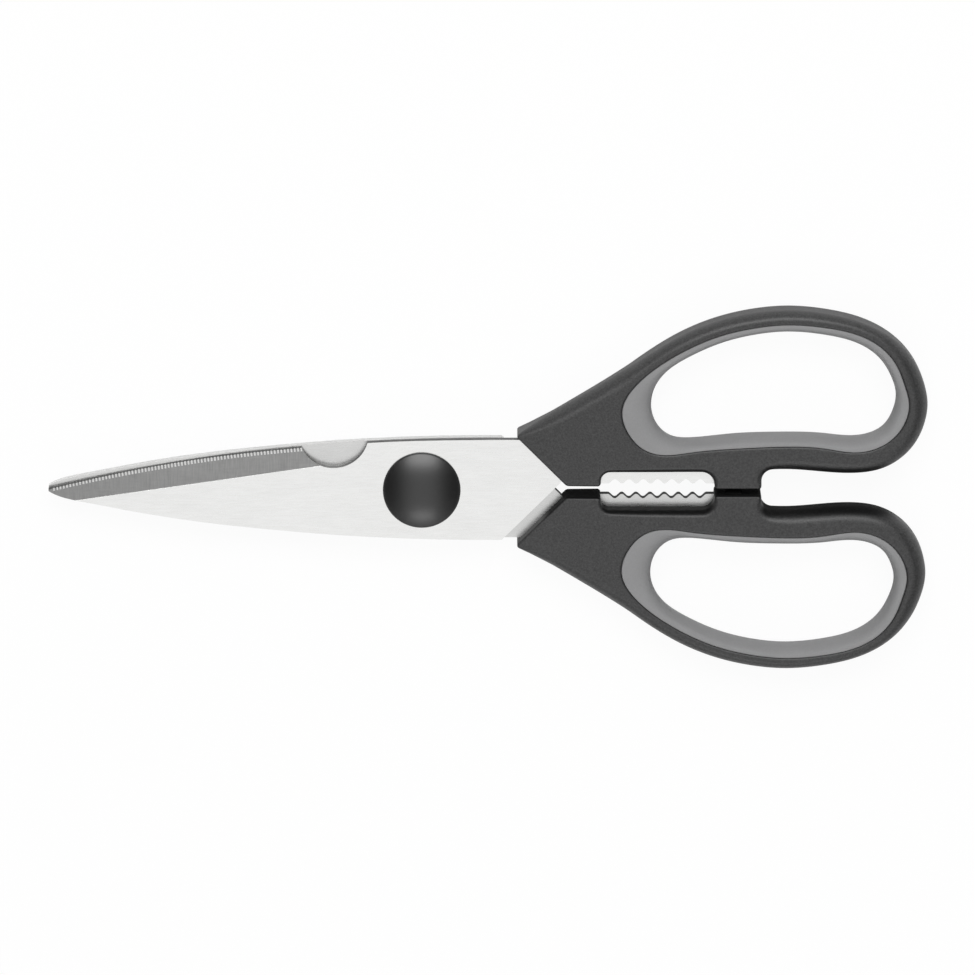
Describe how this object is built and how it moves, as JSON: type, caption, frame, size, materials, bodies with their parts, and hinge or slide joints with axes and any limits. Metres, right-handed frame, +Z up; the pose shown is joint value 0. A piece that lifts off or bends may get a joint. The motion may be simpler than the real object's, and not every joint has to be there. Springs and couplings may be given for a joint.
{
  "type": "kitchen shears",
  "caption": "Kitchen shears with a finely serrated blade and a plain one, a bone notch, toothed gripping jaws and soft-lined finger loops, turning on a capped screw pivot.",
  "frame": {"origin": "Centre of the closed shears' footprint, on the surface that their back rests on", "axes": "+X from the blade tips to the finger loops, +Y towards the front half's loop, +Z up out of the front blade's face"},
  "size_m": [0.215, 0.0902, 0.011],
  "materials": {
    "blade_steel": "brushed along the blade",
    "hard_handle": "fine grained moulded black plastic",
    "soft_grip": "matte grey soft moulding",
    "hardware_steel": "turned and plated steel",
    "glide_plastic": "smooth natural plastic",
    "pivot_cap": "satin moulded black plastic"
  },
  "bodies": {
    "front_half": {"front_blade": "blade_steel", "upper_handle": "hard_handle", "upper_liner": "soft_grip", "pivot_screw": "hardware_steel", "spring_washer": "hardware_steel", "pivot_nut": "hardware_steel", "front_pivot_cap": "pivot_cap", "rear_pivot_cap": "pivot_cap"},
    "rear_half": {"rear_blade": "blade_steel", "lower_handle": "hard_handle", "lower_liner": "soft_grip", "glide_washer": "glide_plastic"}
  },
  "joints": [
    {"name": "blade_pivot", "type": "hinge", "parent": "front_half", "child": "rear_half", "pos_m": [-0.0161, 0, 0.0055], "axis": [0, 0, -1], "range_deg": [0, 122]}
  ]
}
